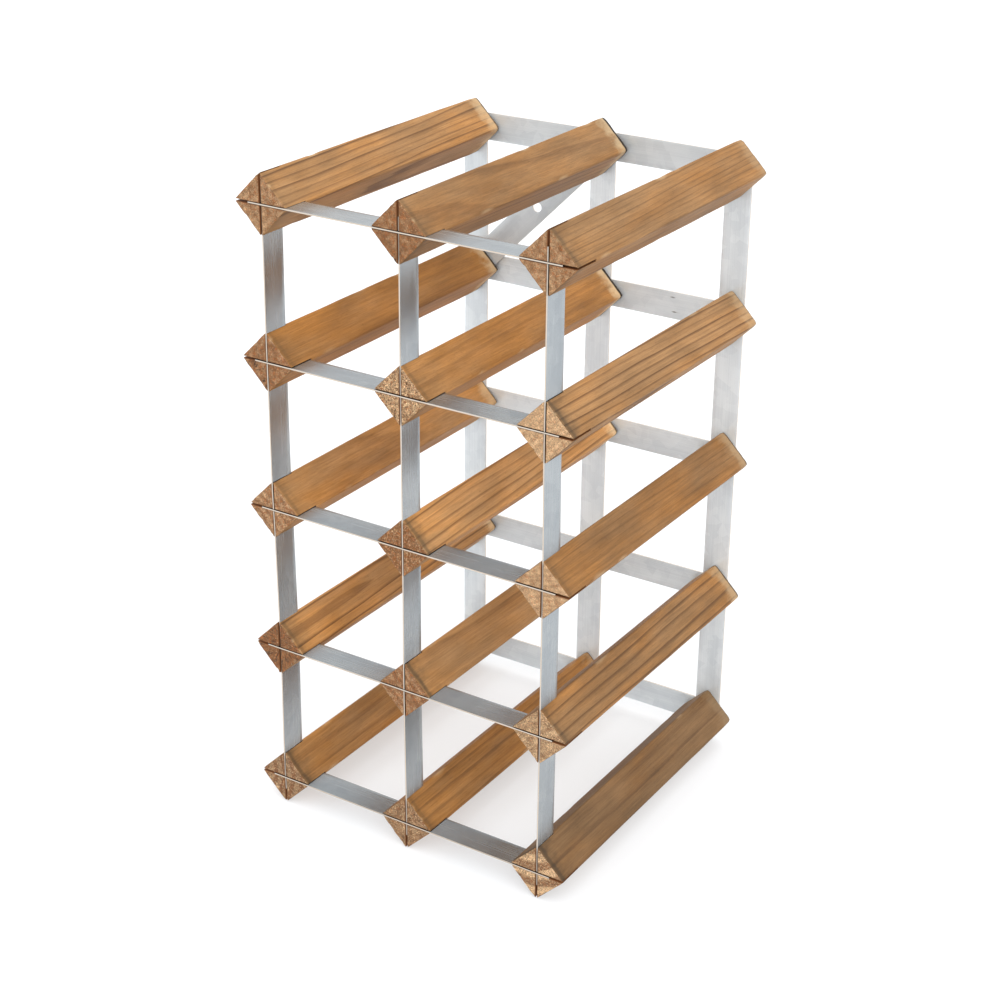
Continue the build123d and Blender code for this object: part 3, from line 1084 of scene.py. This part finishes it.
def rear_cross_strip(row, material):
    """A flat strip along a row, behind the rear uprights."""
    levels = [1 + braced(column, row) for column in COLUMNS]
    pairs = rear_stand_off(COLUMN_PLACES, levels, 1 if row == BRACE_LOWER[1] else -1)
    marks = MARKS if row == MARKED_ROW else ()
    sheet = rear_sheet(COLUMN_PLACES, marks=marks)

    def place(flat):
        y = REAR_Y + eased(pairs, flat[:, 0]) + STRIP_THICKNESS / 2 + flat[:, 2] + dented(flat, marks)
        return points_at(flat[:, 0], y, AXIS_Z[row] - STRIP_WIDTH / 2 + flat[:, 1])

    def shade_and_grime(flat):
        return MARK_GRIME * dented(flat, marks) / MARK_DEPTH

    node = f"rear_cross_strip_row{row}"
    strip_piece(node, sheet, place, material, REAR_CROSS_PAINTED_LIGHT[row], shade_and_grime, at_wall=True)


def rear_upright(column, material):
    """A flat strip up a column, against the battens' ends."""
    levels = [int(braced(column, row)) for row in ROWS]
    pairs = rear_stand_off(ROW_PLACES, levels, 1 if column == BRACE_LOWER[0] else -1)
    sheet = rear_sheet(ROW_PLACES)

    def place(flat):
        y = REAR_Y + eased(pairs, flat[:, 0]) + STRIP_THICKNESS / 2 + flat[:, 2]
        return points_at(AXIS_X[column] - STRIP_WIDTH / 2 + flat[:, 1], y, flat[:, 0])

    node = f"rear_upright_{column}"
    strip_piece(node, sheet, place, material, REAR_UPRIGHT_PAINTED_LIGHT[column], at_wall=True)


def diagonal_brace(material):
    """A flat strip at 45 degrees against the battens' ends, with a wall screw hole at its middle."""
    lower, upper = (np.array([AXIS_X[column], AXIS_Z[row]]) for column, row in (BRACE_LOWER, BRACE_UPPER))
    middle = (lower + upper) / 2
    reach = np.linalg.norm(upper - lower) / 2
    way = (upper - lower) / (2 * reach)
    side = np.array([-way[1], way[0]])
    wall_hole = (0.0, STRIP_WIDTH / 2, FIXING_HOLE_RADIUS, 2 * HOLE_BLOCK)
    sheet = rear_sheet((-reach, reach), [wall_hole])

    def place(flat):
        over = middle + flat[:, :1] * way + (flat[:, 1:2] - STRIP_WIDTH / 2) * side
        return points_at(over[:, 0], REAR_Y + STRIP_THICKNESS / 2 + flat[:, 2], over[:, 1])

    strip_piece("diagonal_brace", sheet, place, material, BRACE_PAINTED_LIGHT, at_wall=True)


# ---- Nails ----
NAIL_SIDES = 40
NAIL_SHANK_RADIUS = 1.0
NAIL_HEAD_RADIUS = 2.75
NAIL_HEAD_THICKNESS = 1.0
NAIL_LENGTH = 25.0
NAIL_TONE = 0.95
HAMMERED_FROM = 0.6
DIMPLE_DEPTH = 0.09
DIMPLE_SIZE = 1.4
DIMPLE_SEED = 5
NAIL_PROFILE = (  # (radius, height over the strip's back)
    (0.0, -NAIL_LENGTH), (0.12, -NAIL_LENGTH), (0.6, -NAIL_LENGTH + 1.7),
    (NAIL_SHANK_RADIUS, -NAIL_LENGTH + 3.0), (NAIL_SHANK_RADIUS, -12.0), (NAIL_SHANK_RADIUS, 0.0),
    (NAIL_HEAD_RADIUS - 0.1, 0.0), (NAIL_HEAD_RADIUS, 0.12), (NAIL_HEAD_RADIUS, 0.38),
    (NAIL_HEAD_RADIUS - 0.14, 0.66), (NAIL_HEAD_RADIUS - 0.45, 0.84), (NAIL_HEAD_RADIUS - 0.95, 0.95),
    (1.1, 0.99), (0.5, NAIL_HEAD_THICKNESS), (0.0, NAIL_HEAD_THICKNESS),
)


def rear_nails(material):
    """One nail through the crossing strips into each batten, with hammered heads."""
    nails = Surface()
    turn = np.linspace(0, 2 * math.pi, NAIL_SIDES, endpoint=False)[:, None]
    radius, height = np.array(NAIL_PROFILE).T
    nail = points_at(radius * np.cos(turn), height, radius * np.sin(turn))
    for row in ROWS:
        for column in COLUMNS:
            level = 3 if braced(column, row) else 2
            seat = np.array([AXIS_X[column], REAR_Y + level * STRIP_THICKNESS, AXIS_Z[row]])
            noise = soft_noise(nail.reshape(-1, 3) + seat, DIMPLE_SIZE, DIMPLE_SEED)
            hammered = nail.copy()
            hammered[..., 1] -= DIMPLE_DEPTH * noise.reshape(NAIL_SIDES, -1) * (height > HAMMERED_FROM)
            nails.grid(hammered + seat, closed=True)
    mesh = nails.mesh("rear_nails")
    points = mesh_points(mesh)
    set_values(mesh, "strip_place", points)
    set_points(mesh, points)
    piece = show("zinc_rear_nails", mesh, material, ["rear_nails"])
    piece["tone"] = NAIL_TONE


# ---- Stage ----
CAMERA_PLACE = Vector((0.6017, -0.9533, 0.7197))
CAMERA_AZIMUTH = math.radians(32.465)
CAMERA_ELEVATION = math.radians(24.831)
CAMERA_ROLL = math.radians(0.509)
CAMERA_LENS = 70.604  # millimetres, as is the sensor
SENSOR_WIDTH = 36.0
FLOOR_SIZE = 30.0
FLOOR_COLOUR = tint(176, 178, 181)
FLOOR_GLOW = 0.5
LIGHTS = (  # name, strength, how soft in degrees, tilt from overhead, turn from the front towards +X, colour
    ("overhead", 1.9, 110, 12, 0, (1.0, 0.98, 0.95)),
    ("front", 1.3, 60, 58, 38, (1.0, 0.98, 0.96)),
)


def camera():
    """A camera to the rack's right and above it."""
    a, e = CAMERA_AZIMUTH, CAMERA_ELEVATION
    back = Vector((math.sin(a) * math.cos(e), -math.cos(a) * math.cos(e), math.sin(e)))
    right = Vector((0, 0, 1)).cross(back).normalized()
    upward = back.cross(right)
    axes = Matrix((right, upward, back)).transposed() @ Matrix.Rotation(CAMERA_ROLL, 3, "Z")
    data = bpy.data.cameras.new("camera")
    data.lens = CAMERA_LENS
    data.sensor_width = SENSOR_WIDTH
    data.clip_end = 100.0
    made = new_object("camera", data)
    made.matrix_world = Matrix.Translation(CAMERA_PLACE) @ axes.to_4x4()
    bpy.context.scene.camera = made


def floor():
    """A wide, plain, pale floor. It glows, which softens the rack's shadow on it."""
    n = Nodes("pale_floor")
    place = n.add("ShaderNodeNewGeometry").outputs["Position"]
    colour = n.brighter(FLOOR_COLOUR, n.linear(n.noise(place, 3.0), 0.02, 0.99))
    material = n.finish(
        colour, 0.9, n.noise(place, 60.0), 0.2,
        Specular_IOR_Level=0.1, Emission_Color=(1, 1, 1, 1), Emission_Strength=FLOOR_GLOW,
    )
    half = FLOOR_SIZE / 2
    mesh = bpy.data.meshes.new("floor")
    corners = [(-half, -half, 0), (half, -half, 0), (half, half, 0), (-half, half, 0)]
    mesh.from_pydata(corners, [], [[0, 1, 2, 3]])
    mesh.materials.append(material)
    new_object("floor", mesh)


def light():
    """Even light from all round, with a broad soft light from above and one from the front right."""
    world = bpy.data.worlds.new("studio")
    world.use_nodes = True
    backdrop = world.node_tree.nodes["Background"]
    backdrop.inputs["Color"].default_value = (0.98, 0.99, 1.0, 1.0)
    backdrop.inputs["Strength"].default_value = 0.94
    bpy.context.scene.world = world
    for name, strength, softness, tilt, turn, colour in LIGHTS:
        data = bpy.data.lights.new(name, "SUN")
        data.energy = strength
        data.angle = math.radians(softness)
        data.color = colour
        made = new_object(name, data)
        made.rotation_euler = (math.radians(tilt), 0, math.radians(turn))
    bpy.context.scene.view_settings.view_transform = "Standard"


# ---- The rack ----
camera()
floor()
light()

pine = stained_pine()
front_zinc = zinc("galvanised_strip_front", roughness=0.25, metallic=0.95)
rear_zinc = zinc("galvanised_strip_rear", roughness=0.46, metallic=0.5)
nail_zinc = zinc("nail_steel", roughness=0.36, metallic=0.95)

form = batten_form()
for row in ROWS:
    for column in COLUMNS:
        batten(form, pine, row, column)
    front_cross_strip(row, front_zinc)
    rear_cross_strip(row, rear_zinc)
bpy.data.meshes.remove(form)

for column in COLUMNS:
    front_upright(column, front_zinc)
    rear_upright(column, rear_zinc)

diagonal_brace(rear_zinc)
rear_nails(nail_zinc)
